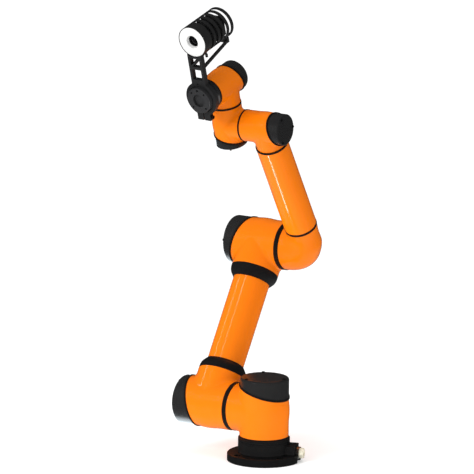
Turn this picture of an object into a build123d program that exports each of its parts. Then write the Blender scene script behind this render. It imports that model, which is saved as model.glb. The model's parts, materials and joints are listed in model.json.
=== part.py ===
from build123d import *
import os
from math import atan, cos, degrees, radians, sin

# Collaborative robot arm with six joints and a camera with a ring light on its tool flange.
# Millimetres and degrees. +Z is up, the origin is the centre of the base's bottom face, and
# +X points to the connector block. The arm is drawn in a raised working pose.

# ---- Base ----
BASE_RADIUS = 86
BASE_THICKNESS = 18
BASE_EDGE = 3
BASE_BOLT_CIRCLE = 144
BASE_BOLT_HOLE = 4.5
BASE_BOLT_SINK = 8
BASE_SINK_DEPTH = 5
NECK_RADIUS = 60.5
NECK_TOP = 50.5
NECK_GROOVE = (45.6, 47)
NECK_GROOVE_DEPTH = 1.2
NECK_WALL = 8
BLOCK_REACH = 78.5
BLOCK_WIDTH = 45
BLOCK_TOP = 40
SOCKET_HEIGHT = 21.5
SOCKET_RADIUS = 14.5
SOCKET_END = 86.5
SOCKET_SHANK = 9
SOCKET_SHANK_START = 66
SOCKET_KNURLS = 28
NOTCH_GAP = 1.5
BLOCK_EDGE = 2
SLEEVE_RADIUS = 12
SLEEVE_START = 76
SLEEVE_END = 96
SLEEVE_SHANK = 8
SLEEVE_BORE = 6

# ---- Where the joints are ----
SHOULDER_HEIGHT = 117.2
SHOULDER_OFFSET = 141.2
UPPER_ARM_LENGTH = 408.4
ELBOW_OFFSET = 124.6
FOREARM_LENGTH = 375.4
WRIST_1_OFFSET = 102
WRIST_2_OFFSET = 101.4
FLANGE_OFFSET = 94

# ---- The pose that the arm is drawn in ----
SHOULDER_YAW = 162.1
UPPER_ARM_LEAN = 32.6
FOREARM_LEAN = -31.5
WRIST_LEAN = -17.1
WRIST_TURN = 85.3

# ---- Joint modules: the large ones are joints 1 to 3, the small ones joints 4 to 6 ----
LARGE = dict(radius=57.5, wall=5, branch=56.5, cap_end=80, cut=45, slope=0.28, edge=6, bore=16)
SMALL = dict(radius=36.8, wall=4.3, branch=36.2, cap_end=53.5, cut=30, slope=0.3, edge=4, bore=10)
# From each joint's centre: to the end of its housing, and to the face that its output drives.
HOUSING_END = {1: 58.6, 2: 59.4, 3: 61.0, 4: 53.0, 5: 49.6, 6: 51.0}
OUTPUT_FACE = {1: SHOULDER_HEIGHT - NECK_TOP, 2: 70.1, 3: 71.8, 4: 56.2, 5: 52.8, 6: 54.2}
SEAL_GAP = 0.5
SEAL_RECESS = 0.6
END_PLATE = 7
LIP_HEIGHT = 2.4
LIP_PROUD = 0.7
CAP_SCREWS = 3
CAP_SCREW_START = 65

# ---- Links ----
BRANCH_TO_COLLAR = 72.2
COLLAR_LENGTH = 27.2
COLLAR_FLOOR = 6
COLLAR_NECK = 45.3
COLLAR_BAND = 3
COLLAR_LEDGE = 9
COLLAR_BULGE = (0.3, 0.62)
COLLAR_END_SLOPE = (-0.6, 0.8)
UPPER_TUBE_RADIUS = 43.5
TUBE_WALL = 4
KNEE_RADIUS = 55.5
KNEE_REACH = 87
KNEE_NECK = 35.5
ROUND = 0.5523  # share of the radius at which a Bezier curve's handles make a quarter ellipse
FOREARM_RADIUS = 38.4
FOREARM_RING_AT = (72.7, 326.1)
FOREARM_RING_WIDTH = 4
RING_RECESS = 0.5

# ---- Tool flange, from its face ----
FLANGE_RADIUS = 31.5
FLANGE_THICKNESS = 12
FLANGE_BOLT_CIRCLE = 50
FLANGE_TAP = 2.5
FLANGE_TAP_DEPTH = 10
FLANGE_PIN = 3
CENTRING_RADIUS = 15.75
CENTRING_DEPTH = 6.5
TOOL_NECK_RADIUS = 33.4

# ---- Camera bracket and ring light, in the tool flange's frame ----
CLAMP_FRONT = -10
CLAMP_THICKNESS = 12
CLAMP_RADIUS = 42
CLAMP_GAP = 0.05
CLAMP_LUG_WIDTH = 36
CLAMP_LUG_REACH = 54
CLAMP_SLOT = 3
CLAMP_SCREW_AT = 46
CLAMP_SCREW = dict(radius=2.5, head=4.6, head_length=5, socket=2.4, socket_depth=2.5)
CLAMP_SCREW_HOLE = 2.6
PLATE_WIDTH = 39
PLATE_BAR = 6.5
PLATE_WINDOW = (49, 75)
TRUSS_WINDOW = (82, 103)
TRUSS_BRACE = dict(width=4, length=50, lean=-51)
PLATE_PIN = dict(x=38, y=3, radius=1.8)
LIGHT_AXIS = 145
LIGHT_RADIUS = 38
LIGHT_FRONT = -12
LIGHT_BODY = 26
LIGHT_RIM = 1.6
LIGHT_BORE = 16
DIFFUSER_THICKNESS = 2.4
THROAT_RADIUS = 13.8
THROAT_DEPTH = 7
CAGE_RINGS = 5
CAGE_PITCH = 17.1
CAGE_RING_WIDTH = 8
CAGE_RING_INNER = 35.4
CAGE_RIB_INNER = 33
CAGE_RIB_WIDTH = 6
CAGE_RIB_ANGLES = (40, 135, 225)
CAGE_TAB_REACH = 48
CAGE_TAB_WIDTH = 36
CAMERA_SIDE = 42
CAMERA_ENDS = (-82, -26)
CAMERA_EDGE = 3
LENS_FRONT = -7.5
LENS_RECESS = (10.5, 3)
THUMBSCREW = dict(radius=3.2, start=18, end=45, knob=7, y=-18, z=-22)
STRUT_AT = (-13.5, 17.5)
STRUT_WIDTH = 4
STRUT_FOOT = (76, 84)
STRUT_THICKNESS = 7.5

UP = Vector(0, 0, 1)


def about(direction):
    """The axis through the origin along a direction."""
    return Axis((0, 0, 0), direction)


# Joints 2, 3 and 4 turn about parallel axes, and each lean is a turn about that axis.
arm_axis = Vector(1, 0, 0).rotate(Axis.Z, SHOULDER_YAW)
upper_dir = UP.rotate(about(arm_axis), UPPER_ARM_LEAN)
fore_dir = UP.rotate(about(arm_axis), FOREARM_LEAN)
wrist_dir = UP.rotate(about(arm_axis), WRIST_LEAN)
tool_dir = arm_axis.rotate(about(wrist_dir), WRIST_TURN)

shoulder = UP * SHOULDER_HEIGHT
arm_foot = shoulder + arm_axis * SHOULDER_OFFSET
elbow = arm_foot + upper_dir * UPPER_ARM_LENGTH
knee = elbow - arm_axis * ELBOW_OFFSET
wrist_1 = knee + fore_dir * FOREARM_LENGTH
wrist_2 = wrist_1 + arm_axis * WRIST_1_OFFSET
wrist_3 = wrist_2 + wrist_dir * WRIST_2_OFFSET
flange = wrist_3 + tool_dir * FLANGE_OFFSET

# In each joint's frame the cap is at +Z, the output at -Z and the housing's branch at +X.
FRAMES = {
    1: Plane(origin=shoulder, x_dir=arm_axis, z_dir=UP),
    2: Plane(origin=arm_foot, x_dir=upper_dir, z_dir=arm_axis),
    3: Plane(origin=elbow, x_dir=-upper_dir, z_dir=arm_axis),
    4: Plane(origin=wrist_1, x_dir=-fore_dir, z_dir=-arm_axis),
    5: Plane(origin=wrist_2, x_dir=-arm_axis, z_dir=-wrist_dir),
    6: Plane(origin=wrist_3, x_dir=-wrist_dir, z_dir=-tool_dir),
}
SIZES = {1: LARGE, 2: LARGE, 3: LARGE, 4: SMALL, 5: SMALL, 6: SMALL}
KNEE_FRAME = Plane(origin=elbow, x_dir=fore_dir, z_dir=-arm_axis)
UPPER_FRAME = Plane(origin=arm_foot, x_dir=arm_axis, z_dir=upper_dir)
FORE_FRAME = Plane(origin=knee, x_dir=-arm_axis, z_dir=fore_dir)
TOOL_FRAME = Plane(origin=flange, x_dir=wrist_dir, z_dir=tool_dir)

# How far each branch reaches from its joint's centre.
BRANCH_END = {
    1: SHOULDER_OFFSET - OUTPUT_FACE[2],
    2: BRANCH_TO_COLLAR,
    3: BRANCH_TO_COLLAR,
    4: FOREARM_LENGTH - FOREARM_RING_AT[1] - FOREARM_RING_WIDTH / 2,
    5: WRIST_1_OFFSET - OUTPUT_FACE[4],
    6: WRIST_2_OFFSET - OUTPUT_FACE[5],
}


def rod(radius, low, high):
    """A cylinder about Z from one height to another."""
    return Pos(0, 0, (low + high) / 2) * Cylinder(radius, high - low)


def ring(inner, outer, low, high):
    """A tube about Z from one height to another."""
    return rod(outer, low, high) - rod(inner, low - 1, high + 1)


def block(low, high):
    """A box between two corners."""
    size = [b - a for a, b in zip(low, high)]
    middle = [(a + b) / 2 for a, b in zip(low, high)]
    return Pos(*middle) * Box(*size)


def lathe(points):
    """A solid turned about Z from an outline of (radius, height) points."""
    return revolve(Plane.XZ * make_face(Polyline(*points, close=True)), Axis.Z)


def around(count, radius, start=0.0):
    """Places on a circle about Z."""
    for i in range(count):
        angle = radians(start + 360 * i / count)
        yield radius * cos(angle), radius * sin(angle)


def to_branch(solid):
    """Turns a solid about Z so that it lies along X."""
    return Rot(0, 90, 0) * solid


def slant(size, low, high):
    """The layer between two slanted planes, measured up from the cap's joint line."""
    reach = 6 * size["radius"]
    layer = block((-reach, -reach, low), (reach, reach, high))
    return Pos(0, 0, size["cut"]) * Rot(0, -degrees(atan(size["slope"])), 0) * layer


def above(size):
    return slant(size, 0, 6 * size["radius"])


def tee_housing(size, housing_end, branch_end):
    """Cast housing: a barrel for the drive and a branch to the next piece of the arm."""
    radius, wall, branch = size["radius"], size["wall"], size["branch"]
    top = size["cap_end"] - size["edge"]
    outer = rod(radius, -housing_end, top) + to_branch(rod(branch, 0, branch_end))
    inner = rod(radius - wall, -housing_end - 1, top + 1)
    inner += to_branch(rod(branch - wall, 0, branch_end - END_PLATE))
    inner += to_branch(rod(size["bore"], 0, branch_end + 1))
    return outer - inner - above(size)


def cap_shell(size):
    """Rear cap with a rounded edge, a slightly proud lip and pockets for its screws."""
    radius, wall, end = size["radius"], size["wall"], size["cap_end"]
    low = size["cut"] - size["slope"] * radius - 5
    body = rod(radius, low, end)
    body = fillet(body.edges().sort_by(Axis.Z)[-1], size["edge"])
    shell = body & above(size)
    shell += rod(radius + LIP_PROUD, low, end) & slant(size, 0, LIP_HEIGHT)
    shell -= rod(radius - wall, low - 1, end - wall)
    for x, y in around(CAP_SCREWS, radius * 0.87, CAP_SCREW_START):
        shell -= Pos(x, y, 0) * rod(radius * 0.085, end - size["edge"] * 0.45, end + 1)
    return shell


def cap_screws(size):
    """Socket-head screws that stand in the cap's pockets."""
    end, radius = size["cap_end"], size["radius"]
    floor = end - size["edge"] * 0.45
    screws = []
    for x, y in around(CAP_SCREWS, radius * 0.87, CAP_SCREW_START):
        head = rod(radius * 0.062, floor, end + 1.6)
        socket = extrude(RegularPolygon(radius * 0.034, 6), amount=3)
        screws.append(Pos(x, y, 0) * (head - Pos(0, 0, end - 0.4) * socket))
    return screws


def seal_ring(size, joint):
    """Rubber seal between a housing's end and the face that it turns against."""
    low = SEAL_GAP - OUTPUT_FACE[joint]
    return ring(size["radius"] * 0.84, size["radius"] - SEAL_RECESS, low, -HOUSING_END[joint])


def drive_heights(size, joint):
    """Heights of the output flange's top, the gear's ends and the motor's ends."""
    radius = size["radius"]
    flange_top = -OUTPUT_FACE[joint] + 0.21 * radius
    gear_low = flange_top + 3
    gear_high = gear_low + 0.4 * radius
    return flange_top, gear_low, gear_high, gear_high + 4, 0.4 * radius


def motor(size, joint):
    """Fixed pieces of the drive: the gear's circular spline, the stator and the board."""
    room = size["radius"] - size["wall"] - 0.4
    _, gear_low, gear_high, motor_low, motor_high = drive_heights(size, joint)
    spline = ring(room * 0.74, room, gear_low, gear_high)
    stator = ring(room * 0.6, room * 0.96, motor_low, motor_high)
    board_low = motor_high + 0.22 * size["radius"]
    board = ring(room * 0.26, room * 0.9, board_low, board_low + 1.6)
    return [spline, stator, board]


def rotor(size, joint):
    """Hollow rotor shaft with its magnets' carrier and the gear's wave generator."""
    room = size["radius"] - size["wall"] - 0.4
    _, gear_low, gear_high, motor_low, motor_high = drive_heights(size, joint)
    shaft = rod(room * 0.25, gear_low - 1, motor_high + 0.15 * size["radius"])
    shaft += rod(room * 0.58, gear_low + 1, gear_high - 1)
    shaft += rod(room * 0.58, motor_low + 1, motor_high - 1)
    return shaft - rod(room * 0.18, gear_low - 2, motor_high + size["radius"])


def output(size, joint):
    """Output flange with the thin cup of the strain-wave gear."""
    room = size["radius"] - size["wall"] - 0.4
    flange_top, _, gear_high, _, _ = drive_heights(size, joint)
    low = -OUTPUT_FACE[joint]
    return lathe([
        (room * 0.3, low), (room * 0.86, low), (room * 0.86, flange_top),
        (room * 0.69, flange_top), (room * 0.69, gear_high - 1),
        (room * 0.63, gear_high - 1), (room * 0.63, flange_top), (room * 0.3, flange_top),
    ])


def base_flange():
    """Foot with four counterbored bolt holes, and the neck that carries joint 1."""
    foot = rod(BASE_RADIUS, 0, BASE_THICKNESS)
    foot = fillet(foot.edges().sort_by(Axis.Z)[-1], BASE_EDGE)
    foot += rod(NECK_RADIUS, 0, NECK_TOP)
    foot -= ring(NECK_RADIUS - NECK_GROOVE_DEPTH, NECK_RADIUS + 1, *NECK_GROOVE)
    foot -= rod(NECK_RADIUS - NECK_WALL, -1, NECK_TOP - END_PLATE)
    foot -= rod(LARGE["bore"], 0, NECK_TOP + 1)
    for x, y in around(4, BASE_BOLT_CIRCLE / 2, 45):
        foot -= Pos(x, y, 0) * rod(BASE_BOLT_HOLE, -1, BASE_THICKNESS + 1)
        foot -= Pos(x, y, 0) * rod(BASE_BOLT_SINK, BASE_THICKNESS - BASE_SINK_DEPTH, BASE_THICKNESS + 1)
    notch = SOCKET_RADIUS + NOTCH_GAP
    foot -= block((BLOCK_REACH, -notch, -1), (BASE_RADIUS + 1, notch, BASE_THICKNESS + 1))
    return foot - to_socket(rod(SOCKET_SHANK, NECK_RADIUS - NECK_WALL - 1, BASE_RADIUS))


def to_socket(solid):
    """Lays a solid about Z along +X, at the socket's height."""
    return Pos(0, 0, SOCKET_HEIGHT) * to_branch(solid)


def connector_block():
    """Block on the neck's side that holds the cable's socket."""
    half = BLOCK_WIDTH / 2
    body = block((NECK_RADIUS - 12, -half, BASE_THICKNESS), (BLOCK_REACH, half, BLOCK_TOP))
    body = fillet(body.edges().filter_by(Axis.Z).sort_by(Axis.X)[-2:], BLOCK_EDGE)
    body -= rod(NECK_RADIUS, 0, NECK_TOP)
    return body - to_socket(rod(SOCKET_SHANK, NECK_RADIUS - NECK_WALL - 1, BASE_RADIUS))


def connector_socket():
    """Metal socket with a knurled nut, half of it in the foot's notch."""
    shell = rod(SOCKET_SHANK, SOCKET_SHANK_START, BLOCK_REACH) + rod(SOCKET_RADIUS, BLOCK_REACH, SOCKET_END)
    for x, y in around(SOCKET_KNURLS, SOCKET_RADIUS + 0.3):
        shell -= Pos(x, y, 0) * rod(0.9, BLOCK_REACH + 1.2, SOCKET_END - 1.2)
    return to_socket(shell - rod(SLEEVE_SHANK, SOCKET_SHANK_START - 1, SOCKET_END + 1))


def connector_sleeve():
    """Pale plastic sleeve in the socket, open where the cable's plug goes in."""
    sleeve = rod(SLEEVE_SHANK, SLEEVE_START, SOCKET_END) + rod(SLEEVE_RADIUS, SOCKET_END, SLEEVE_END)
    sleeve = fillet(sleeve.edges().sort_by(Axis.Z)[-1], 1.5)
    sleeve += rod(SLEEVE_RADIUS + 0.9, SOCKET_END + 3, SOCKET_END + 4.2)
    return to_socket(sleeve - rod(SLEEVE_BORE, SLEEVE_START - 1, SLEEVE_END + 1))


def joint_1_seal():
    """Stepped seal under the shoulder: a cone that widens to a lip over the neck."""
    low = NECK_TOP + SEAL_GAP
    high = SHOULDER_HEIGHT - HOUSING_END[1]
    inner = LARGE["radius"] * 0.84
    return lathe([
        (inner, low), (NECK_RADIUS, low), (NECK_RADIUS, low + 3), (NECK_RADIUS - 1.4, low + 4),
        (LARGE["radius"] - SEAL_RECESS, high), (inner, high),
    ])


def collar():
    """Rounded collar that joins a large housing to the upper arm's tube."""
    foot, neck, tube = LARGE["branch"], COLLAR_NECK, UPPER_TUBE_RADIUS
    inward, along = COLLAR_BULGE
    bulge = (foot - (foot - neck) * inward, COLLAR_LENGTH * along)
    start, end = (foot, COLLAR_BAND), (neck, COLLAR_LENGTH)
    side = Spline(start, bulge, end, tangents=[(0, 1), COLLAR_END_SLOPE])
    inside = Polyline(
        end, (tube, COLLAR_LENGTH), (tube, COLLAR_FLOOR), (tube - COLLAR_LEDGE, COLLAR_FLOOR),
        (tube - COLLAR_LEDGE, 0), (foot, 0), start,
    )
    return revolve(Plane.XZ * make_face([side, inside]), Axis.Z)


def forearm_knee():
    """Rounded elbow of the forearm: a half ellipsoid with a neck for the tube."""
    start, wall = OUTPUT_FACE[3], LARGE["wall"]

    def half_egg(radius, reach):
        side = Bezier((radius, 0), (radius, reach * ROUND), (radius * ROUND, reach), (0, reach))
        outline = make_face([side, Line((0, reach), (0, 0)), Line((0, 0), (radius, 0))])
        return Pos(0, 0, start) * revolve(Plane.XZ * outline, Axis.Z)

    neck_end = FOREARM_RING_AT[0] - FOREARM_RING_WIDTH / 2
    cone = Cone(KNEE_NECK, FOREARM_RADIUS, neck_end)
    bore = Cylinder(KNEE_NECK - wall, neck_end + 2)
    shell = half_egg(KNEE_RADIUS, KNEE_REACH)
    shell += Pos(neck_end / 2, 0, ELBOW_OFFSET) * to_branch(cone)
    hollow = half_egg(KNEE_RADIUS - wall, KNEE_REACH - wall)
    hollow += Pos(neck_end / 2 + 1, 0, ELBOW_OFFSET) * to_branch(bore)
    hollow -= rod(KNEE_RADIUS + 1, start - 1, start + END_PLATE)
    hollow += rod(LARGE["bore"], start - 1, start + END_PLATE + 1)
    return shell - hollow


def forearm_rings():
    """Two thin gaskets, at the ends of the forearm's tube."""
    half = FOREARM_RING_WIDTH / 2
    outer = FOREARM_RADIUS - RING_RECESS
    return [ring(FOREARM_RADIUS - 9, outer, at - half, at + half) for at in FOREARM_RING_AT]


def tool_neck():
    """Black hub that turns in wrist 3 and carries the tool flange."""
    low = OUTPUT_FACE[6] - FLANGE_OFFSET
    rim = SMALL["radius"] - 0.8
    return lathe([
        (SMALL["bore"], low), (rim, low), (rim, low + 5), (TOOL_NECK_RADIUS, low + 9),
        (TOOL_NECK_RADIUS, -FLANGE_THICKNESS), (SMALL["bore"], -FLANGE_THICKNESS),
    ])


def tool_flange():
    """Tool flange with a centring bore, four tapped holes and a pin hole."""
    disc = rod(FLANGE_RADIUS, -FLANGE_THICKNESS, 0)
    disc = chamfer(disc.edges().sort_by(Axis.Z)[-1], 0.8)
    disc -= rod(CENTRING_RADIUS, -CENTRING_DEPTH, 1)
    for x, y in around(4, FLANGE_BOLT_CIRCLE / 2, 45):
        disc -= Pos(x, y, 0) * rod(FLANGE_TAP, -FLANGE_TAP_DEPTH, 1)
    return disc - Pos(FLANGE_BOLT_CIRCLE / 2, 0, 0) * rod(FLANGE_PIN, -CENTRING_DEPTH, 1)


def camera_bracket():
    """Split clamp around the tool neck, and the windowed plate that holds the light."""
    back = CLAMP_FRONT - CLAMP_THICKNESS
    front = CLAMP_FRONT
    half = PLATE_WIDTH / 2
    top = LIGHT_AXIS
    body = rod(CLAMP_RADIUS, back, front)
    body += block((0, -half, back), (top, half, front))
    body += block((-CLAMP_LUG_REACH, -CLAMP_LUG_WIDTH / 2, back), (0, CLAMP_LUG_WIDTH / 2, front))
    body -= Pos(LIGHT_AXIS, 0, 0) * rod(LIGHT_RADIUS + CLAMP_GAP, back - 1, front + 1)
    body -= rod(TOOL_NECK_RADIUS + CLAMP_GAP, back - 1, front + 1)
    body -= block((-CLAMP_LUG_REACH - 1, -CLAMP_SLOT / 2, back - 1), (0, CLAMP_SLOT / 2, front + 1))
    inside = half - PLATE_BAR
    body -= block((PLATE_WINDOW[0], -inside, back - 1), (PLATE_WINDOW[1], inside, front + 1))
    truss = block((TRUSS_WINDOW[0], -inside, back - 1), (TRUSS_WINDOW[1], inside, front + 1))
    brace = Box(TRUSS_BRACE["length"], TRUSS_BRACE["width"], CLAMP_THICKNESS + 4)
    middle = (back + front) / 2
    body -= truss - Pos(sum(TRUSS_WINDOW) / 2, 0, middle) * Rot(0, 0, TRUSS_BRACE["lean"]) * brace
    body -= Pos(PLATE_PIN["x"], PLATE_PIN["y"], 0) * rod(PLATE_PIN["radius"], back - 1, front + 1)
    screw_hole = Cylinder(CLAMP_SCREW_HOLE, 2 * CLAMP_LUG_WIDTH)
    return body - Pos(-CLAMP_SCREW_AT, 0, middle) * Rot(90, 0, 0) * screw_hole


def clamp_screw():
    """Screw that closes the split clamp."""
    half = CLAMP_LUG_WIDTH / 2
    end = half + CLAMP_SCREW["head_length"]
    screw = rod(CLAMP_SCREW["radius"], -half, half) + rod(CLAMP_SCREW["head"], half, end)
    socket = extrude(RegularPolygon(CLAMP_SCREW["socket"], 6), amount=CLAMP_SCREW["socket_depth"] + 1)
    screw -= Pos(0, 0, end - CLAMP_SCREW["socket_depth"]) * socket
    return Pos(-CLAMP_SCREW_AT, 0, CLAMP_FRONT - CLAMP_THICKNESS / 2) * Rot(90, 0, 0) * screw


def light_place():
    """Where the light's front face is: its body runs back along -Z."""
    return Pos(LIGHT_AXIS, 0, LIGHT_FRONT)


def light_housing():
    """Drum of the ring light, with its rear cage of thin rings on three ribs."""
    cage_end = LIGHT_BODY + CAGE_RINGS * CAGE_PITCH
    drum = rod(LIGHT_RADIUS, -LIGHT_BODY, 0)
    drum -= rod(LIGHT_RADIUS - LIGHT_RIM, -DIFFUSER_THICKNESS - 0.6, 1)
    drum -= rod(LIGHT_BORE, -LIGHT_BODY - 1, 0)
    for i in range(1, CAGE_RINGS + 1):
        end = LIGHT_BODY + i * CAGE_PITCH
        drum += ring(CAGE_RING_INNER, LIGHT_RADIUS, -end, CAGE_RING_WIDTH - end)
    half = CAGE_RIB_WIDTH / 2
    rib = block((CAGE_RIB_INNER, -half, -cage_end + 1), (LIGHT_RADIUS - 0.8, half, -LIGHT_BODY + 1))
    for angle in CAGE_RIB_ANGLES:
        drum += Rot(0, 0, angle) * rib
    half = CAGE_TAB_WIDTH / 2
    inside = CAGE_RING_INNER + 0.6
    tab = block((-CAGE_TAB_REACH, -half, -cage_end), (1 - inside, half, CAGE_RING_WIDTH - cage_end))
    drum += tab - rod(inside, -cage_end - 1, 0)
    return light_place() * (drum + thumbscrew())


def thumbscrew():
    """Small screw under the drum that clamps the camera."""
    radius, end = THUMBSCREW["radius"], THUMBSCREW["end"]
    screw = rod(radius * 0.6, THUMBSCREW["start"], end) + rod(radius, end - THUMBSCREW["knob"], end)
    return Pos(0, THUMBSCREW["y"], THUMBSCREW["z"]) * Rot(0, -90, 0) * screw


def light_diffuser():
    """White annular diffuser of the ring light, with a conical throat for the lens."""
    outer, front = LIGHT_RADIUS - LIGHT_RIM - 0.1, -0.6
    back = front - DIFFUSER_THICKNESS
    return light_place() * lathe([
        (THROAT_RADIUS, -THROAT_DEPTH), (LIGHT_BORE - 0.1, -THROAT_DEPTH), (LIGHT_BORE - 0.1, back),
        (outer, back), (outer, front), (LIGHT_BORE, front),
    ])


def camera_lens():
    """Lens behind the ring light's hole."""
    radius, depth = LENS_RECESS
    barrel = rod(THROAT_RADIUS - 0.1, CAMERA_ENDS[1], LENS_FRONT)
    return light_place() * (barrel - rod(radius, LENS_FRONT - depth, LENS_FRONT + 1))


def camera_body():
    """Camera inside the cage."""
    half = CAMERA_SIDE / 2
    body = block((-half, -half, CAMERA_ENDS[0]), (half, half, CAMERA_ENDS[1]))
    return light_place() * fillet(body.edges().filter_by(Axis.Z), CAMERA_EDGE)


def bracket_struts():
    """Two bars from the plate's back to the cage's last ring."""
    back = CLAMP_FRONT - CLAMP_THICKNESS
    rear = LIGHT_FRONT - LIGHT_BODY - CAGE_RINGS * CAGE_PITCH + CAGE_RING_WIDTH
    top = LIGHT_AXIS - CAGE_TAB_REACH
    path = [(STRUT_FOOT[0], back), (STRUT_FOOT[1], back), (top + STRUT_THICKNESS, rear), (top, rear)]
    bar = extrude(Plane.XZ * make_face(Polyline(*path, close=True)), amount=STRUT_WIDTH)
    return [Pos(0, y, 0) * bar for y in STRUT_AT]


os.makedirs("parts", exist_ok=True)


def write(name, place, shape):
    """Writes one node, as one solid or as a group of separate solids."""
    solids = shape if isinstance(shape, list) else [shape]
    placed = [place * solid for solid in solids]
    export_step(placed[0] if len(placed) == 1 else Compound(children=placed), f"parts/{name}.step")


GROUND = Plane.XY
write("base_flange", GROUND, base_flange())
write("connector_block", GROUND, connector_block())
write("connector_socket", GROUND, connector_socket())
write("connector_sleeve", GROUND, connector_sleeve())

HOUSINGS = {
    1: "shoulder_housing", 2: "upper_arm_housing", 3: "elbow_housing",
    4: "wrist_1_housing", 5: "wrist_2_housing", 6: "wrist_3_housing",
}
for joint, frame in FRAMES.items():
    size = SIZES[joint]
    write(HOUSINGS[joint], frame, tee_housing(size, HOUSING_END[joint], BRANCH_END[joint]))
    write(f"joint_{joint}_cap", frame, cap_shell(size))
    write(f"joint_{joint}_cap_screws", frame, cap_screws(size))
    write(f"joint_{joint}_motor", frame, motor(size, joint))
    write(f"joint_{joint}_rotor", frame, rotor(size, joint))
    write(f"joint_{joint}_output", frame, output(size, joint))
    if joint > 1:
        write(f"joint_{joint}_seal", frame, seal_ring(size, joint))
write("joint_1_seal", GROUND, joint_1_seal())

low_collar = BRANCH_TO_COLLAR
high_collar = UPPER_ARM_LENGTH - BRANCH_TO_COLLAR
collars = [Pos(0, 0, low_collar) * collar(), Pos(0, 0, high_collar) * Rot(180, 0, 0) * collar()]
write("upper_arm_collars", UPPER_FRAME, collars)
tube_ends = (low_collar + COLLAR_FLOOR, high_collar - COLLAR_FLOOR)
write("upper_arm_tube", UPPER_FRAME, ring(UPPER_TUBE_RADIUS - TUBE_WALL, UPPER_TUBE_RADIUS, *tube_ends))

write("forearm_knee", KNEE_FRAME, forearm_knee())
write("forearm_rings", FORE_FRAME, forearm_rings())
tube_ends = (FOREARM_RING_AT[0] + FOREARM_RING_WIDTH / 2, FOREARM_RING_AT[1] - FOREARM_RING_WIDTH / 2)
write("forearm_tube", FORE_FRAME, ring(FOREARM_RADIUS - TUBE_WALL, FOREARM_RADIUS, *tube_ends))

write("tool_neck", TOOL_FRAME, tool_neck())
write("tool_flange", TOOL_FRAME, tool_flange())
write("camera_bracket", TOOL_FRAME, camera_bracket())
write("clamp_screw", TOOL_FRAME, clamp_screw())
write("bracket_struts", TOOL_FRAME, bracket_struts())
write("light_housing", TOOL_FRAME, light_housing())
write("light_diffuser", TOOL_FRAME, light_diffuser())
write("camera_lens", TOOL_FRAME, camera_lens())
write("camera_body", TOOL_FRAME, camera_body())
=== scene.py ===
import json
import math

import bmesh
import bpy
import numpy as np
from mathutils import Matrix, Vector


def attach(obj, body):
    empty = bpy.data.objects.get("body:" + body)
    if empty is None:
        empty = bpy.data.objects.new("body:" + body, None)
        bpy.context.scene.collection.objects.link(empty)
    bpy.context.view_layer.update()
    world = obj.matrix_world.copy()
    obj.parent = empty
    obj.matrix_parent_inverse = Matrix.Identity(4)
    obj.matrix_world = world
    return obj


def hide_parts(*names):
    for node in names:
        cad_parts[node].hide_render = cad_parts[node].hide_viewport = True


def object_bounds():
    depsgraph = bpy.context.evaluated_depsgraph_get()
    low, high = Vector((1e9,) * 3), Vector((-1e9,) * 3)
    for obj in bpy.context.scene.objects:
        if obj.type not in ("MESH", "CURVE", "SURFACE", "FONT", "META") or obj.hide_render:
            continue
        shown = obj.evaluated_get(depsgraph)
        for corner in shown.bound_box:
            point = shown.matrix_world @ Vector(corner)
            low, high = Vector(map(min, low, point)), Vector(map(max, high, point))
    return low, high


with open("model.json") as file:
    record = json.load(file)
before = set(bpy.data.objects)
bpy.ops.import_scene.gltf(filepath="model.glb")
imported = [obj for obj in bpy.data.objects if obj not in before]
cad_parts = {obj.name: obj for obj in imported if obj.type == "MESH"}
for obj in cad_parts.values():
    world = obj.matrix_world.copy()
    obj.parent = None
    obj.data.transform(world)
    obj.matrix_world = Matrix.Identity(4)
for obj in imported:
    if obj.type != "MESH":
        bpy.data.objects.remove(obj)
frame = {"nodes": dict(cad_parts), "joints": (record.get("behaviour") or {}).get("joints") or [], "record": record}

# The looks of a six-axis robot arm with a ring-light camera on its tool flange. Lengths are
# millimetres in each piece's own frame, and points are turned into metres when they are placed.
CAD_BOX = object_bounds()
MM = 0.001

# ---- Sizes ----
LARGE = dict(radius=57.5, wall=5, branch=56.5, cut=45, slope=0.28, fillet=10, cell=2.2)
SMALL = dict(radius=36.8, wall=4.3, branch=36.2, cut=30, slope=0.3, fillet=7, cell=1.6)
SHOULDER_OFFSET = 141.2
ELBOW_OFFSET = 124.6
WRIST_1_OFFSET = 102
WRIST_2_OFFSET = 101.4
HOUSING_END = {1: 58.6, 2: 59.4, 3: 61.0, 4: 53.0, 5: 49.6, 6: 51.0}
OUTPUT_FACE = {2: 70.1, 3: 71.8, 4: 56.2, 5: 52.8}
BRANCH_TO_COLLAR = 72.2
FOREARM_LENGTH = 375.4
FOREARM_RADIUS = 38.4
FOREARM_RING_AT = (72.7, 326.1)
FOREARM_RING_WIDTH = 4
KNEE_RADIUS = 55.5
KNEE_REACH = 78.5
KNEE_POWER = 2.32
KNEE_LEAN = 6.5
KNEE_NECK = 31.3
KNEE_NECK_START = 21.8
KNEE_FILLET = 17.2
KNEE_CELL = 2.4
LIP = dict(inset=2, proud=1.9, gap=0.1, height=4.2, corner=0.9)
LIGHT_AXIS = 145
LIGHT_FRONT = -12
CAMERA = dict(half=24, front=-26, rear=-99, edge=6, edge_steps=4, fin=3, gap=2, fin_depth=1.4, chamfer=2)
PLUG = dict(radius=7, at=10, length=7, lap=1, corner=1, count=32)
LENS_GLASS = dict(radius=10.3, floor=-10.5, rim=1, bulge=2.6, steps=8, count=64)
GASKETS = ((73.3, 6.6), (326.1, 4.4))  # where each is along the forearm, and its width
GASKET = dict(inset=4, proud=0.5, corner=0.6)
WRIST_SEAL = dict(inset=3, proud=0.6, gap=0.1, lap=1.3, corner=0.5)
AXIS_HOLE = 0.05  # the pinhole that a solid turned piece has along its axis
BAND_STEPS = 4
RIM_ROUND = 0.9
RIM_STEPS = 3
RIM_DEPTH = 14
RIM_TOLERANCE = 0.05
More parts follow.
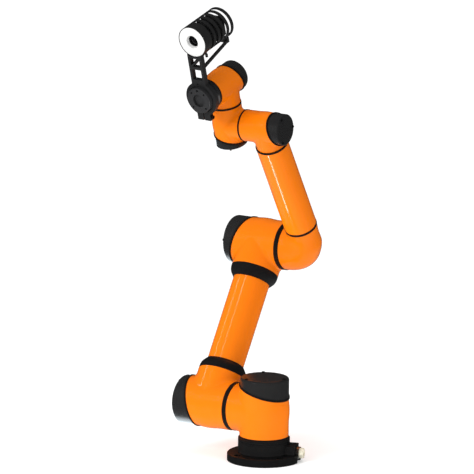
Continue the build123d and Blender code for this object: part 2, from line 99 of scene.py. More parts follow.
CUT_TOLERANCE = 1e-4
WELD_DISTANCE = 0.02
NEWTON_STEPS = 4
MARGIN_CELLS = 3  # how far a field's grid goes past its shape
CROTCH_LEAST = 0.05
CROTCH_AT_RIM = 0.2
KNEE_CROTCH_AT_RIM = 0.02

# ---- Where the joints are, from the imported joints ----
JOINTS = {int(j["name"].split("_")[1]): j for j in frame["joints"]}
AXIS = {i: Vector(j["axis"]) for i, j in JOINTS.items()}
AT = {i: Vector(j["pos_m"]) for i, j in JOINTS.items()}
arm_axis = -AXIS[2]
upper_dir = (AT[3] - AT[2]).normalized()
knee_at = AT[3] - arm_axis * (ELBOW_OFFSET * MM)
fore_dir = (AT[4] - knee_at).normalized()
wrist_dir = AXIS[5]
tool_dir = -AXIS[6]
tool_at = Vector(next(m for m in frame["record"]["mounts"] if m["name"] == "tool_bolts")["pos_m"])


def local_frame(origin, x_dir, z_dir):
    """A right-handed frame from its origin, its X and its Z directions."""
    x, z = x_dir.normalized(), z_dir.normalized()
    return Matrix.Translation(origin) @ Matrix((x, z.cross(x), z)).transposed().to_4x4()


UP = Vector((0, 0, 1))
# In each joint's frame the cap is at +Z, the output at -Z and the housing's branch at +X.
FRAMES = {
    1: local_frame(Vector((0, 0, AT[2].z)), arm_axis, UP),
    2: local_frame(AT[2], upper_dir, arm_axis),
    3: local_frame(AT[3], -upper_dir, arm_axis),
    4: local_frame(AT[4], -fore_dir, -arm_axis),
    5: local_frame(AT[5], -arm_axis, -wrist_dir),
    6: local_frame(AT[6], -wrist_dir, -tool_dir),
}
KNEE_FRAME = local_frame(AT[3], fore_dir, -arm_axis)
TOOL_FRAME = local_frame(tool_at, wrist_dir, tool_dir)
HEAD_FRAME = TOOL_FRAME @ Matrix.Translation(Vector((LIGHT_AXIS, 0, LIGHT_FRONT)) * MM)
SIZES = {1: LARGE, 2: LARGE, 3: LARGE, 4: SMALL, 5: SMALL, 6: SMALL}
BRANCH_END = {
    1: SHOULDER_OFFSET - OUTPUT_FACE[2],
    2: BRANCH_TO_COLLAR,
    3: BRANCH_TO_COLLAR,
    4: FOREARM_LENGTH - FOREARM_RING_AT[1] - FOREARM_RING_WIDTH / 2,
    5: WRIST_1_OFFSET - OUTPUT_FACE[4],
    6: WRIST_2_OFFSET - OUTPUT_FACE[5],
}
HOUSINGS = {
    1: "shoulder_housing", 2: "upper_arm_housing", 3: "elbow_housing",
    4: "wrist_1_housing", 5: "wrist_2_housing", 6: "wrist_3_housing",
}


# ---- Materials ----
# The colour sockets of a mix node.
MIX_FACTOR, MIX_A, MIX_B, MIX_RESULT = 0, 6, 7, 2
PATCH_RANGE = (0.35, 0.65)  # the noise that is spread over a finish's whole range
PATCH_SHARE = 0.5
GRAIN_RANGE = (0.3, 0.7)


def nodes_of(material):
    """A material's node tree with a helper that adds a node and sets its inputs."""
    tree = material.node_tree

    def add(kind, **inputs):
        node = tree.nodes.new(kind)
        for key, value in inputs.items():
            socket = node.inputs[key.replace("_", " ")]
            if isinstance(value, bpy.types.NodeSocket):
                tree.links.new(value, socket)
            else:
                socket.default_value = value
        return node

    return tree, add


def blend_colours(add, factor, first, second):
    """A mix of two colours by a factor, and its output socket."""
    mix = add("ShaderNodeMix")
    mix.data_type = "RGBA"
    mix.id_data.links.new(factor, mix.inputs[MIX_FACTOR])
    mix.inputs[MIX_A].default_value = first
    mix.inputs[MIX_B].default_value = second
    return mix.outputs[MIX_RESULT]


def finish_material(
    name, colour, shade, rough, patches=18, grain=900, grain_height=0.00002,
    wave=0, wave_height=0, rings=0, ring_height=0, metallic=0.0, coat=0.0, coat_roughness=0.05,
    specular=0.5, painted_glow=0.0,
):
    """A procedural finish: patchy colour and roughness, a fine grain and a slow surface wave.

    colour and shade are the two ends of its colour, rough the two ends of its roughness,
    patches, grain, wave and rings are scales per metre, and the heights are in metres.
    """
    material = bpy.data.materials.new(name)
    material.use_nodes = True
    tree, add = nodes_of(material)
    shader = tree.nodes["Principled BSDF"]
    place = add("ShaderNodeTexCoord").outputs["Object"]
    patch = add("ShaderNodeTexNoise", Vector=place, Scale=patches, Detail=4.0, Roughness=0.6)
    low, high = PATCH_RANGE
    spread = add("ShaderNodeMapRange", Value=patch.outputs["Fac"], From_Min=low, From_Max=high)
    fine = add("ShaderNodeTexNoise", Vector=place, Scale=grain, Detail=3.0, Roughness=0.55)
    share = add("ShaderNodeMath")
    share.operation = "MULTIPLY"
    tree.links.new(spread.outputs[0], share.inputs[0])
    share.inputs[1].default_value = PATCH_SHARE
    base = blend_colours(add, share.outputs[0], (*colour, 1), (*shade, 1))
    tree.links.new(base, shader.inputs["Base Color"])
    roughness = add(
        "ShaderNodeMapRange", Value=fine.outputs["Fac"], From_Min=GRAIN_RANGE[0],
        From_Max=GRAIN_RANGE[1], To_Min=rough[0], To_Max=rough[1],
    )
    tree.links.new(roughness.outputs[0], shader.inputs["Roughness"])
    normal = None
    if wave:
        slow = add("ShaderNodeTexNoise", Vector=place, Scale=wave, Detail=2.0, Roughness=0.5)
        bump = add("ShaderNodeBump", Height=slow.outputs["Fac"], Distance=wave_height, Strength=1.0)
        normal = bump.outputs[0]
    if rings:
        turning = add("ShaderNodeTexWave", Vector=place, Scale=rings, Distortion=0.6, Detail=1.0)
        turning.wave_type = "RINGS"
        turning.rings_direction = "Z"
        bump = add("ShaderNodeBump", Height=turning.outputs["Fac"], Distance=ring_height, Strength=1.0)
        if normal:
            tree.links.new(normal, bump.inputs["Normal"])
        normal = bump.outputs[0]
    bump = add("ShaderNodeBump", Height=fine.outputs["Fac"], Distance=grain_height, Strength=1.0)
    if normal:
        tree.links.new(normal, bump.inputs["Normal"])
    tree.links.new(bump.outputs[0], shader.inputs["Normal"])
    shader.inputs["Metallic"].default_value = metallic
    shader.inputs["Coat Weight"].default_value = coat
    shader.inputs["Coat Roughness"].default_value = coat_roughness
    shader.inputs["Specular IOR Level"].default_value = specular
    # The glow is painted light: the finish gives off a little of its own colour, though it is no lamp.
    if painted_glow:
        tree.links.new(base, shader.inputs["Emission Color"])
        shader.inputs["Emission Strength"].default_value = painted_glow
    return material


LOOKS = {
    "orange_paint": dict(
        colour=(0.8, 0.175, 0.0025), shade=(0.76, 0.163, 0.002), rough=(0.16, 0.22), patches=9,
        grain=1400, grain_height=0.000008, wave=260, wave_height=0.00002, coat=0.5, coat_roughness=0.04,
        specular=0.2,
    ),
    "black_cap": dict(
        colour=(0.014, 0.014, 0.0145), shade=(0.019, 0.0186, 0.018), rough=(0.22, 0.32), grain=2200,
        grain_height=0.00002,
    ),
    "base_black": dict(
        colour=(0.006, 0.006, 0.0063), shade=(0.009, 0.0088, 0.0085), rough=(0.4, 0.52), grain=1500,
        grain_height=0.00006,
    ),
    "collar_black": dict(
        colour=(0.006, 0.006, 0.0065), shade=(0.009, 0.009, 0.0085), rough=(0.36, 0.48), grain=2000,
        grain_height=0.00003,
    ),
    "seal_rubber": dict(
        colour=(0.005, 0.005, 0.005), shade=(0.008, 0.0078, 0.0075), rough=(0.5, 0.66), grain=1100,
        grain_height=0.00004,
    ),
    "flange_grey": dict(
        colour=(0.03, 0.03, 0.032), shade=(0.04, 0.04, 0.041), rough=(0.34, 0.46), grain=3000,
        grain_height=0.00001, metallic=0.3, rings=420, ring_height=0.00002,
    ),
    "bracket_grey": dict(
        colour=(0.016, 0.016, 0.017), shade=(0.024, 0.024, 0.024), rough=(0.42, 0.56), grain=1800,
        grain_height=0.00005, metallic=0.2,
    ),
    "light_black": dict(
        colour=(0.012, 0.012, 0.0123), shade=(0.018, 0.0176, 0.017), rough=(0.34, 0.46), grain=1900,
        grain_height=0.00003,
    ),
    "steel": dict(
        colour=(0.5, 0.5, 0.5), shade=(0.42, 0.42, 0.43), rough=(0.22, 0.36), grain=2400,
        grain_height=0.00001, metallic=1.0,
    ),
    "screw_black": dict(
        colour=(0.02, 0.02, 0.021), shade=(0.035, 0.034, 0.033), rough=(0.28, 0.4), grain=2600,
        grain_height=0.00002, metallic=0.8,
    ),
    "drive_iron": dict(
        colour=(0.2, 0.19, 0.18), shade=(0.28, 0.27, 0.26), rough=(0.32, 0.5), grain=1600,
        grain_height=0.00003, metallic=1.0,
    ),
    "socket_metal": dict(
        colour=(0.6, 0.58, 0.53), shade=(0.5, 0.48, 0.44), rough=(0.2, 0.32), grain=2600,
        grain_height=0.00001, metallic=1.0,
    ),
    "dust_cap": dict(
        colour=(0.74, 0.7, 0.56), shade=(0.66, 0.62, 0.5), rough=(0.34, 0.46), grain=1500,
        grain_height=0.00002,
    ),
    # The diffuser's faint glow is painted light that brightens it and its shaded throat; no lamp shines from it.
    "diffuser": dict(
        colour=(0.66, 0.66, 0.65), shade=(0.6, 0.6, 0.6), rough=(0.3, 0.4), grain=1200,
        grain_height=0.00002, painted_glow=0.02,
    ),
    "lens": dict(
        colour=(0.002, 0.002, 0.0025), shade=(0.004, 0.0035, 0.0045), rough=(0.06, 0.1), grain=2000,
        grain_height=0.000002, specular=0.3,
    ),
    "camera": dict(
        colour=(0.012, 0.012, 0.013), shade=(0.018, 0.018, 0.018), rough=(0.36, 0.5), grain=2000,
        grain_height=0.00003,
    ),
}
FINISHES = {name: finish_material(name, **look) for name, look in LOOKS.items()}
SLOT_OF = {part["node"]: part["material_slot"] for part in frame["record"]["subparts"]}
BODY_OF = {
    node: body for body, nodes in frame["record"]["behaviour"]["bodies"].items() for node in nodes
}
for node, piece in frame["nodes"].items():
    for material_slot in piece.material_slots:
        material_slot.material = FINISHES[SLOT_OF[node]]


# ---- Cast housings: a smooth skin over a field of distances ----
def gradient(field, points, step=0.02):
    """How a field changes along X, Y and Z at points."""
    columns = []
    for axis in range(3):
        shift = np.zeros(3)
        shift[axis] = step
        columns.append((field(points + shift) - field(points - shift)) / (2 * step))
    return np.stack(columns, 1)


def unit(vectors):
    """The vectors at length one."""
    return vectors / np.linalg.norm(vectors, axis=-1, keepdims=True)


def skin(field, low, high, cell):
    """Points and quads of the surface where a field is zero, by surface nets."""
    low, high = np.array(low, float), np.array(high, float)
    counts = np.ceil((high - low) / cell).astype(int) + 1
    axes = [low[i] + cell * np.arange(counts[i]) for i in range(3)]
    grid = np.stack(np.meshgrid(*axes, indexing="ij"), -1)
    values = field(grid.reshape(-1, 3)).reshape(counts)
    total = np.zeros((*(counts - 1), 3))
    number = np.zeros(counts - 1)
    crossings = []
    for axis in range(3):
        first = [slice(None)] * 3
        last = [slice(None)] * 3
        first[axis], last[axis] = slice(None, -1), slice(1, None)
        before, after = values[tuple(first)], values[tuple(last)]
        crossed = (before < 0) != (after < 0)
        span = np.where(crossed, before - after, 1)
        point = grid[tuple(first)].copy()
        point[..., axis] += np.where(crossed, before / span, 0) * cell
        side_1, side_2 = [a for a in range(3) if a != axis]
        for shift_1 in (0, 1):
            for shift_2 in (0, 1):
                edges = [slice(None)] * 3
                edges[side_1] = slice(1, None) if shift_1 else slice(None, -1)
                edges[side_2] = slice(1, None) if shift_2 else slice(None, -1)
                mask = crossed[tuple(edges)]
                total += point[tuple(edges)] * mask[..., None]
                number += mask
        crossings.append((crossed, before < 0))
    active = number > 0
    index = np.full(active.shape, -1)
    index[active] = np.arange(active.sum())
    points = total[active] / number[active][:, None]
    quads = []
    for axis, (crossed, starts_inside) in enumerate(crossings):
        side_1, side_2 = (axis + 1) % 3, (axis + 2) % 3
        at = np.argwhere(crossed)
        room = (at[:, side_1] > 0) & (at[:, side_2] > 0)
        room &= (at[:, side_1] < counts[side_1] - 1) & (at[:, side_2] < counts[side_2] - 1)
        at = at[room]
        corners = []
        for back_1, back_2 in ((1, 1), (0, 1), (0, 0), (1, 0)):
            cell_at = at.copy()
            cell_at[:, side_1] -= back_1
            cell_at[:, side_2] -= back_2
            corners.append(index[tuple(cell_at.T)])
        quad = np.stack(corners, 1)
        flip = ~starts_inside[tuple(at.T)]
        quad[flip] = quad[flip][:, ::-1]
        quads.append(quad)
    for _ in range(NEWTON_STEPS):
        slope = gradient(field, points)
        points -= (field(points) / (slope**2).sum(1))[:, None] * slope
    return points, np.concatenate(quads)


def rimmed_shell(field, low, high, cell, planes, wall):
    """The skin of a field trimmed at planes, with a rounded rim that turns into a wall at each.

    planes are (point, outward direction). Returns points, faces and the points' normals.
    """
    points, quads = skin(field, low, high, cell)
    bm = bmesh.new()
    made = [bm.verts.new(p) for p in points]
    for quad in quads:
        bm.faces.new([made[i] for i in quad])
    for point, direction in planes:
        outward = Vector(direction).normalized()
        inset = Vector(point) - outward * RIM_ROUND
        everything = bm.verts[:] + bm.edges[:] + bm.faces[:]
        bmesh.ops.bisect_plane(
            bm, geom=everything, dist=CUT_TOLERANCE, plane_co=inset, plane_no=outward, clear_outer=True
        )
    bmesh.ops.remove_doubles(bm, verts=bm.verts[:], dist=WELD_DISTANCE)
    bm.verts.ensure_lookup_table()
    bm.verts.index_update()
    points = np.array([v.co for v in bm.verts])
    normals = unit(gradient(field, points))
    faces = [[v.index for v in face.verts] for face in bm.faces]
    for point, direction in planes:
        outward = unit(np.array(direction, float))
        inset = np.array(point, float) - outward * RIM_ROUND
        edges = []
        for edge in bm.edges:
            if not edge.is_boundary:
                continue
            middle = np.array((edge.verts[0].co + edge.verts[1].co) / 2)
            if abs((middle - inset) @ outward) > RIM_TOLERANCE:
                continue
            loop = edge.link_loops[0]
            edges.append((loop.vert.index, loop.link_loop_next.vert.index))
        points, normals, faces = add_rim(points, normals, faces, edges, outward, wall)
    bm.free()
    return points, faces, normals


def add_rim(points, normals, faces, edges, outward, wall):
    """Rows of faces round one open edge: a quarter round, the flat rim and the inner wall."""
    ring = sorted({index for edge in edges for index in edge})
    place = {index: i for i, index in enumerate(ring)}
    start, out = points[ring], normals[ring]
    across = unit(out - (out @ outward)[:, None] * outward)
    rows, row_normals = [], []
    for step in range(1, RIM_STEPS + 1):
        angle = math.pi / 2 * step / RIM_STEPS
        sideways = across * (RIM_ROUND * (math.cos(angle) - 1))
        rows.append(start + sideways + outward * (RIM_ROUND * math.sin(angle)))
        row_normals.append(unit(across * math.cos(angle) + outward * math.sin(angle)))
    inner = start - across * wall + outward * RIM_ROUND
    rows += [inner, inner, inner - outward * RIM_DEPTH]
    row_normals += [np.tile(outward, (len(ring), 1)), -across, -across]
    previous = np.array(ring)
    for number, (row, row_normal) in enumerate(zip(rows, row_normals)):
        indices = len(points) + np.arange(len(ring))
        points = np.concatenate([points, row])
        normals = np.concatenate([normals, row_normal])
        if number != RIM_STEPS + 1:
            for a, b in edges:
                i, j = place[a], place[b]
                faces.append([previous[j], previous[i], indices[i], indices[j]])
        previous = indices
    return points, normals, faces


def piece_from(name, place, points, faces, slot, body, replaced, normals=None, flat=False):
    """A Blender object from millimetre points in a local frame, riding on a body."""
    mesh = bpy.data.meshes.new(name)
    turn, move = np.array(place.to_3x3()), np.array(place.translation)
    placed = np.asarray(points) * MM @ turn.T + move
    mesh.from_pydata([tuple(p) for p in placed], [], [tuple(map(int, f)) for f in faces])
    mesh.validate()
    if not flat:
        mesh.shade_smooth()
    if normals is not None:
        mesh.normals_split_custom_set_from_vertices([tuple(n) for n in normals @ turn.T])
    piece = bpy.data.objects.new(name, mesh)
    bpy.context.scene.collection.objects.link(piece)
    mesh.materials.append(FINISHES[slot])
    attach(piece, body)
    if replaced:
        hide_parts(*replaced)


def blended(first, second, reach):
    """The union of two fields with a rounded crotch that reaches this far along each."""
    reach = np.maximum(reach, CROTCH_LEAST)
    near = np.maximum(reach - np.abs(first - second), 0) / reach
    return np.minimum(first, second) - near**2 * reach / 4


def tee_field(size, housing_end):
    """Distances from a barrel along Z and a branch along +X, with a fillet between them."""
    radius, branch = size["radius"], size["branch"]

    def field(points):
        x, y, z = points.T
        from_barrel = np.hypot(x, y)
        from_branch = np.sqrt(y**2 + z**2 + np.minimum(x, 0) ** 2)
        alike = y**2 / np.maximum(from_barrel * from_branch, 1e-6)
        to_cap = size["cut"] + size["slope"] * x - z
        room = np.minimum(housing_end + z, to_cap)
        reach = np.clip(room, CROTCH_AT_RIM, size["fillet"]) * (1 - np.clip(alike, 0, 1) ** 2)
        return blended(from_barrel - radius, from_branch - branch, reach)

    return field


def make_housing(joint):
    """A joint's cast housing."""
    size, node = SIZES[joint], HOUSINGS[joint]
    end, reach = HOUSING_END[joint], BRANCH_END[joint]
    margin = MARGIN_CELLS * size["cell"]
    side = size["radius"] + margin
    top = size["cut"] + size["slope"] * size["radius"] + margin
    planes = [
        ((0, 0, -end), (0, 0, -1)),
        ((reach, 0, 0), (1, 0, 0)),
        ((0, 0, size["cut"]), (-size["slope"], 0, 1)),
    ]
    points, faces, normals = rimmed_shell(
        tee_field(size, end), (-side, -side, -end - margin), (reach + margin, side, top + margin),
        size["cell"], planes, size["wall"],
    )
    name, place = f"{node}_casting", FRAMES[joint]
    piece_from(name, place, points, faces, SLOT_OF[node], BODY_OF[node], [node], normals)


def knee_field(points):
    """Distances from half a leaning, squarish egg and the forearm's neck, with a fillet."""
    x, y, z = points.T
    height = np.maximum(z - OUTPUT_FACE[3], 0)
    lean = x - KNEE_LEAN * (height / KNEE_REACH) ** 2
    across, along = np.hypot(lean, y) / KNEE_RADIUS, height / KNEE_REACH
    egg = ((across**KNEE_POWER + along**KNEE_POWER + 1e-12) ** (1 / KNEE_POWER) - 1) * KNEE_RADIUS
    neck_end = FOREARM_RING_AT[0] - FOREARM_RING_WIDTH / 2
    neck = KNEE_NECK + (FOREARM_RADIUS - KNEE_NECK) * np.clip(x / neck_end, 0, 2)
    tube = np.sqrt(np.minimum(x - KNEE_NECK_START, 0) ** 2 + y**2 + (z - ELBOW_OFFSET) ** 2) - neck
    near = np.maximum(KNEE_FILLET - np.abs(egg - tube), 0) / KNEE_FILLET
    room = np.minimum(z - OUTPUT_FACE[3], neck_end - x) / KNEE_FILLET
    room = np.clip(room, KNEE_CROTCH_AT_RIM, 1)
    return np.minimum(egg, tube) - near**2 * KNEE_FILLET * room / 4


def make_knee():
    """The rounded elbow of the forearm."""
    neck_end = FOREARM_RING_AT[0] - FOREARM_RING_WIDTH / 2
    margin = MARGIN_CELLS * KNEE_CELL
    side, low = KNEE_RADIUS + margin, OUTPUT_FACE[3]
    top = ELBOW_OFFSET + FOREARM_RADIUS + margin
    planes = [((0, 0, low), (0, 0, -1)), ((neck_end, 0, 0), (1, 0, 0))]
    points, faces, normals = rimmed_shell(
        knee_field, (-side, -side, low - margin), (neck_end + margin, side, top),
        KNEE_CELL, planes, LARGE["wall"],
    )
    node = "forearm_knee"
    name, place = f"{node}_casting", KNEE_FRAME
    piece_from(name, place, points, faces, SLOT_OF[node], BODY_OF[node], [node], normals)


# ---- Small round pieces ----
def turned(profile, count=96, slope=0.0):
    """Points and faces of a closed profile turned about Z, sheared along X by a slope."""
    profile = np.array(profile, float)
    angles = 2 * math.pi * np.arange(count) / count
    radius, height = profile[:, 0], profile[:, 1]
    x = np.outer(np.cos(angles), radius)
    y = np.outer(np.sin(angles), radius)
    points = np.stack([x, y, height + slope * x], -1).reshape(-1, 3)
    size = len(profile)
    faces = []
    for step in range(count):
        here, after = step * size, (step + 1) % count * size
        for i in range(size):
            j = (i + 1) % size
            faces.append([here + i, after + i, after + j, here + j])
    return points, faces


def rounded_band(inner, outer, low, high, corner):
    """The closed profile of a band whose two outer corners are rounded."""
    profile = [(inner, high), (inner, low)]
    for centre, start in ((low + corner, -90), (high - corner, 0)):
        for step in range(BAND_STEPS + 1):
            angle = math.radians(start + 90 * step / BAND_STEPS)
            reach = outer - corner + corner * math.cos(angle)
            profile.append((reach, centre + corner * math.sin(angle)))
    return profile


def joined(points, faces, more, quads):
    """Two sets of points and faces as one."""
    return points + more, faces + [[index + len(points) for index in quad] for quad in quads]


def make_lip(joint):
    """The matt rubber lip between a housing and its cap."""
    size = SIZES[joint]
    inner, outer = size["radius"] - LIP["inset"], size["radius"] + LIP["proud"]
    low, high = size["cut"] + LIP["gap"], size["cut"] + LIP["height"]
    band = rounded_band(inner, outer, low, high, LIP["corner"])
    points, faces = turned(band, slope=size["slope"])
    node = f"joint_{joint}_cap"
    piece_from(f"{node}_lip", FRAMES[joint], points, faces, "seal_rubber", BODY_OF[node], [])


def make_wrist_seal(joint):
    """A wrist joint's rubber seal, nearly flush with its housing."""
    radius = SIZES[joint]["radius"]
    inner, outer = radius - WRIST_SEAL["inset"], radius + WRIST_SEAL["proud"]
    low, high = WRIST_SEAL["gap"] - OUTPUT_FACE[joint], WRIST_SEAL["lap"] - HOUSING_END[joint]
    band = rounded_band(inner, outer, low, high, WRIST_SEAL["corner"])
    points, faces = turned(band)
    node = f"joint_{joint}_seal"
    piece_from(f"{node}_ring", FRAMES[joint], points, faces, SLOT_OF[node], BODY_OF[node], [node])


def make_camera():
    """The camera in the cage: a finned body with rounded edges and two round plugs behind it."""
    half, front, rear = CAMERA["half"], CAMERA["front"], CAMERA["rear"]
    waist, edge, steps = half - CAMERA["fin_depth"], CAMERA["edge"], CAMERA["edge_steps"]
    sections = [(front, half)]
    at = front - CAMERA["fin"]
    while at > rear + CAMERA["fin"]:
        after = at - CAMERA["gap"]
        sections += [(at, half), (at, waist), (after, waist), (after, half)]
        at = after - CAMERA["fin"]
    sections += [(rear + CAMERA["chamfer"], half), (rear, half - CAMERA["chamfer"])]
    points = []
    for height, reach in sections:
        corner = reach - edge
        for quarter in range(4):
            middle = math.radians(90 * quarter + 45)
            corner_x = corner * math.copysign(1, math.cos(middle))
            corner_y = corner * math.copysign(1, math.sin(middle))
            for step in range(steps + 1):
                angle = math.radians(90 * quarter + 90 * step / steps)
                x, y = corner_x + edge * math.cos(angle), corner_y + edge * math.sin(angle)
                points.append((x, y, height))
    size = 4 * (steps + 1)
    faces = []
    for row in range(0, len(points) - size, size):
        for i in range(size):
            j = (i + 1) % size
            faces.append([row + j, row + i, row + size + i, row + size + j])
    faces.append(list(range(size)))
    faces.append(list(range(len(points) - 1, len(points) - size - 1, -1)))
    start, end = rear - PLUG["length"], rear + PLUG["lap"]
    for side in (-PLUG["at"], PLUG["at"]):
        band = rounded_band(AXIS_HOLE, PLUG["radius"], start, end, PLUG["corner"])
        more, quads = turned(band, count=PLUG["count"])
        points, faces = joined(points, faces, [(x, y + side, z) for x, y, z in more], quads)
    node = "camera_body"
    name, slot, body = "camera_finned_body", SLOT_OF[node], BODY_OF[node]
    piece_from(name, HEAD_FRAME, points, faces, slot, body, [node], flat=True)


def make_forearm_rings():
    """The two rubber gaskets at the ends of the forearm's tube, a little proud of it."""
    points, faces = [], []
    for at, width in GASKETS:
        inner, outer = FOREARM_RADIUS - GASKET["inset"], FOREARM_RADIUS + GASKET["proud"]
        band = rounded_band(inner, outer, at - width / 2, at + width / 2, GASKET["corner"])
        more, quads = turned(band)
        points, faces = joined(points, faces, list(more), quads)
    node = "forearm_rings"
    place = local_frame(knee_at, arm_axis.cross(fore_dir), fore_dir)
    piece_from("forearm_gaskets", place, points, faces, SLOT_OF[node], BODY_OF[node], [node])


def make_lens_glass():
    """The bulging front glass of the camera's lens."""
    radius, floor, steps = LENS_GLASS["radius"], LENS_GLASS["floor"], LENS_GLASS["steps"]
    back = floor - LENS_GLASS["rim"]
    profile = [(AXIS_HOLE, back), (radius, back)]
    for step in range(steps + 1):
        angle = math.radians(90 * step / steps)
        reach = max(radius * math.cos(angle), AXIS_HOLE)
        profile.append((reach, floor + LENS_GLASS["bulge"] * math.sin(angle)))
    points, faces = turned(profile, count=LENS_GLASS["count"])
    piece_from("lens_glass", HEAD_FRAME, points, faces, "lens", BODY_OF["camera_lens"], [])


for joint in FRAMES:
    make_housing(joint)
    make_lip(joint)
make_knee()
for joint in (4, 5):
    make_wrist_seal(joint)
make_forearm_rings()
make_camera()
make_lens_glass()

# ---- Floor, light and camera, in metres ----
VIEW_TURN = math.radians(14)
VIEW_DROP = math.radians(11.73)
VIEW_ROLL = math.radians(0.47)
VIEW_DISTANCE = 15.6408
VIEW_AIM = (-0.06667, 0.07705, 0.45)
LENS = 512.8
SENSOR_WIDTH = 36
CLIP = (1, 100)
PAPER = (0.93, 0.93, 0.93, 1)
FLOOR_RADIUS = 1.15
FLOOR_SEGMENTS = 96
FLOOR_GLOW = 0.25
FLOOR_ROUGHNESS = 0.9
SURROUND_SEEN = (1.1, 1.1, 1.1, 1)
SURROUND_DIFFUSE = (0.86, 0.86, 0.86, 1)
MIRRORED_DARK = (0.045, 0.045, 0.045, 1)
MIRRORED_BRIGHT = (0.25, 0.27, 0.28, 1)
BRIGHT_SIDE = (-0.085, 0.34, -0.94)
BRIGHT_SPREAD = (0.5, 0.85)


def add_floor():
    """A round pale floor."""
    bm = bmesh.new()
    bmesh.ops.create_circle(bm, cap_ends=True, segments=FLOOR_SEGMENTS, radius=FLOOR_RADIUS)
    mesh = bpy.data.meshes.new("floor")
    bm.to_mesh(mesh)
    bm.free()
    floor = bpy.data.objects.new("floor", mesh)
    bpy.context.scene.collection.objects.link(floor)
    floor.location.z = CAD_BOX[0].z
    material = bpy.data.materials.new("floor")
    material.use_nodes = True
    shader = material.node_tree.nodes["Principled BSDF"]
    shader.inputs["Base Color"].default_value = PAPER
    shader.inputs["Emission Color"].default_value = PAPER
    shader.inputs["Emission Strength"].default_value = FLOOR_GLOW
    shader.inputs["Roughness"].default_value = FLOOR_ROUGHNESS
    mesh.materials.append(material)
    floor.visible_glossy = False
    floor.visible_shadow = False


def add_world():
    """A white surround, which the paint mirrors as dark but for one bright side."""
    world = bpy.data.worlds.new("studio")
    bpy.context.scene.world = world
    world.use_nodes = True
    tree = world.node_tree
    coordinates = tree.nodes.new("ShaderNodeTexCoord")
    facing = tree.nodes.new("ShaderNodeVectorMath")
    facing.operation = "DOT_PRODUCT"
    tree.links.new(coordinates.outputs["Generated"], facing.inputs[0])
    facing.inputs[1].default_value = BRIGHT_SIDE
    spread = tree.nodes.new("ShaderNodeMapRange")
    tree.links.new(facing.outputs["Value"], spread.inputs["Value"])
    spread.inputs["From Min"].default_value, spread.inputs["From Max"].default_value = BRIGHT_SPREAD
    paths = tree.nodes.new("ShaderNodeLightPath")
    level = MIRRORED_DARK
    for factor, value in (
        (spread.outputs[0], MIRRORED_BRIGHT),
        (paths.outputs["Is Diffuse Ray"], SURROUND_DIFFUSE),
        (paths.outputs["Is Camera Ray"], SURROUND_SEEN),
    ):
        mix = tree.nodes.new("ShaderNodeMix")
        mix.data_type = "RGBA"
        tree.links.new(factor, mix.inputs[MIX_FACTOR])
        if isinstance(level, bpy.types.NodeSocket):
            tree.links.new(level, mix.inputs[MIX_A])
        else:
            mix.inputs[MIX_A].default_value = level
        mix.inputs[MIX_B].default_value = value
        level = mix.outputs[MIX_RESULT]
    tree.links.new(level, tree.nodes["Background"].inputs[0])


def add_strip(
    name, aim, towards, distance, along, size, radiance, mirrored=True, only=(), tint=(1, 1, 1)
):
    """A rectangular light that faces a point from a direction, its length along another one.

    only names the pieces that it lights, and without it the light falls on everything.
    """
    back = Vector(towards).normalized()
    side = (Vector(along) - back * Vector(along).dot(back)).normalized()
    light = bpy.data.lights.new(name, "AREA")
    light.shape = "RECTANGLE"
    light.size, light.size_y = size
    light.energy = radiance * math.pi * size[0] * size[1]
    light.color = tint
    lamp = bpy.data.objects.new(name, light)
    bpy.context.scene.collection.objects.link(lamp)
    axes = Matrix((side, back.cross(side), back)).transposed().to_4x4()
    lamp.matrix_world = Matrix.Translation(Vector(aim) + back * distance) @ axes
    lamp.visible_glossy = mirrored
    lamp.visible_camera = False
    if only:
        receivers = bpy.data.collections.new(f"{name}_receivers")
        for node in only:
            receivers.objects.link(frame["nodes"].get(node) or bpy.data.objects[node])
        lamp.light_linking.receiver_collection = receivers


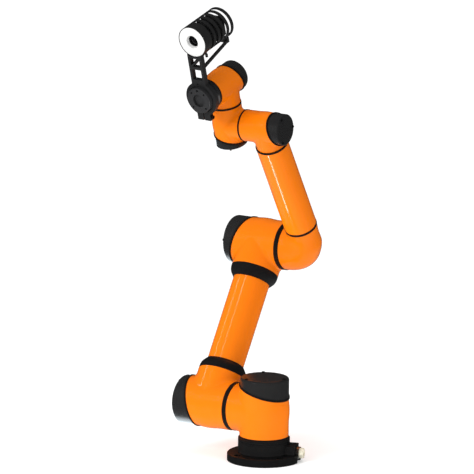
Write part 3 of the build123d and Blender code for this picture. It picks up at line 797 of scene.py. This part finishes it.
def add_lights():
    """Soft lights on everything, streaks on the tubes, and sheens on the caps and the head."""
    add_strip(
        "key", aim=(0, 0, 0.8), towards=(-0.62, -0.62, 0.3), distance=2.6, along=UP,
        size=(1.2, 1.4), radiance=8.5, mirrored=False,
    )
    add_strip(
        "bounce", aim=(0, 0, 0.5), towards=(0, 0, -1), distance=0.48, along=UP + arm_axis,
        size=(2, 2), radiance=0.75, mirrored=False,
    )
    add_strip(
        "overhead", aim=(0, 0, 0.5), towards=(0, 0, 1), distance=3, along=arm_axis,
        size=(1.6, 1.6), radiance=2.5, mirrored=False,
    )
    upper = (AT[2] + AT[3]) / 2 - arm_axis * (BRANCH_TO_COLLAR * MM)
    along_upper = AT[3] - AT[2]
    tubes = ["upper_arm_tube", "forearm_tube"]
    add_strip(
        "streak_left", aim=upper, towards=(-0.389, -0.55, 0.74), distance=3, along=along_upper,
        size=(1.2, 0.1), radiance=10, only=tubes,
    )
    add_strip(
        "streak_far_left", aim=upper, towards=(-0.839, -0.065, 0.53), distance=3,
        along=along_upper, size=(1.2, 0.08), radiance=11, only=tubes + ["upper_arm_housing_casting"],
    )
    add_strip(
        "streak_below", aim=(knee_at + AT[4]) / 2, towards=(-0.2544, -0.2819, -0.925), distance=0.5,
        along=fore_dir, size=(0.35, 0.045), radiance=16, only=["forearm_tube"],
    )
    add_strip(
        "cap_glow", aim=(0, 0, 0.4), towards=(-0.17, 0.69, -0.707), distance=2, along=arm_axis,
        size=(3, 3), radiance=4.5, only=["joint_2_cap", "joint_3_cap", "joint_5_cap"],
        tint=(0.86, 0.95, 1),
    )
    add_strip(
        "cap_sheen", aim=(0, 0, 0.6), towards=(-0.6, -0.75, 0.28), distance=2.5, along=UP,
        size=(1.8, 0.5), radiance=0.45, only=[f"joint_{joint}_cap" for joint in FRAMES],
    )
    add_strip(
        "head_sheen", aim=tool_at, towards=(0.55, -0.45, -0.7), distance=1.5, along=UP,
        size=(1.3, 1.3), radiance=2.2,
        only=["light_housing", "camera_bracket", "bracket_struts", "tool_flange", "tool_neck"],
    )


def add_camera():
    """The camera, at the view that the object is shown from."""
    turn = Matrix.Rotation(VIEW_TURN, 3, "Z")
    right = turn @ Vector((1, 0, 0))
    away = turn @ Vector((0, 1, 0))
    forward = away * math.cos(VIEW_DROP) - UP * math.sin(VIEW_DROP)
    up = right.cross(forward)
    aim = right * VIEW_AIM[0] + up * VIEW_AIM[1] + UP * VIEW_AIM[2]
    rolled_right = right * math.cos(VIEW_ROLL) + up * math.sin(VIEW_ROLL)
    rolled_up = up * math.cos(VIEW_ROLL) - right * math.sin(VIEW_ROLL)
    camera = bpy.data.objects.new("camera", bpy.data.cameras.new("camera"))
    bpy.context.scene.collection.objects.link(camera)
    axes = Matrix((rolled_right, rolled_up, -forward)).transposed().to_4x4()
    camera.matrix_world = Matrix.Translation(aim - forward * VIEW_DISTANCE) @ axes
    camera.data.lens = LENS
    camera.data.sensor_width = SENSOR_WIDTH
    camera.data.clip_start, camera.data.clip_end = CLIP
    bpy.context.scene.camera = camera


add_floor()
add_world()
add_lights()
add_camera()
bpy.context.scene.view_settings.view_transform = "Standard"
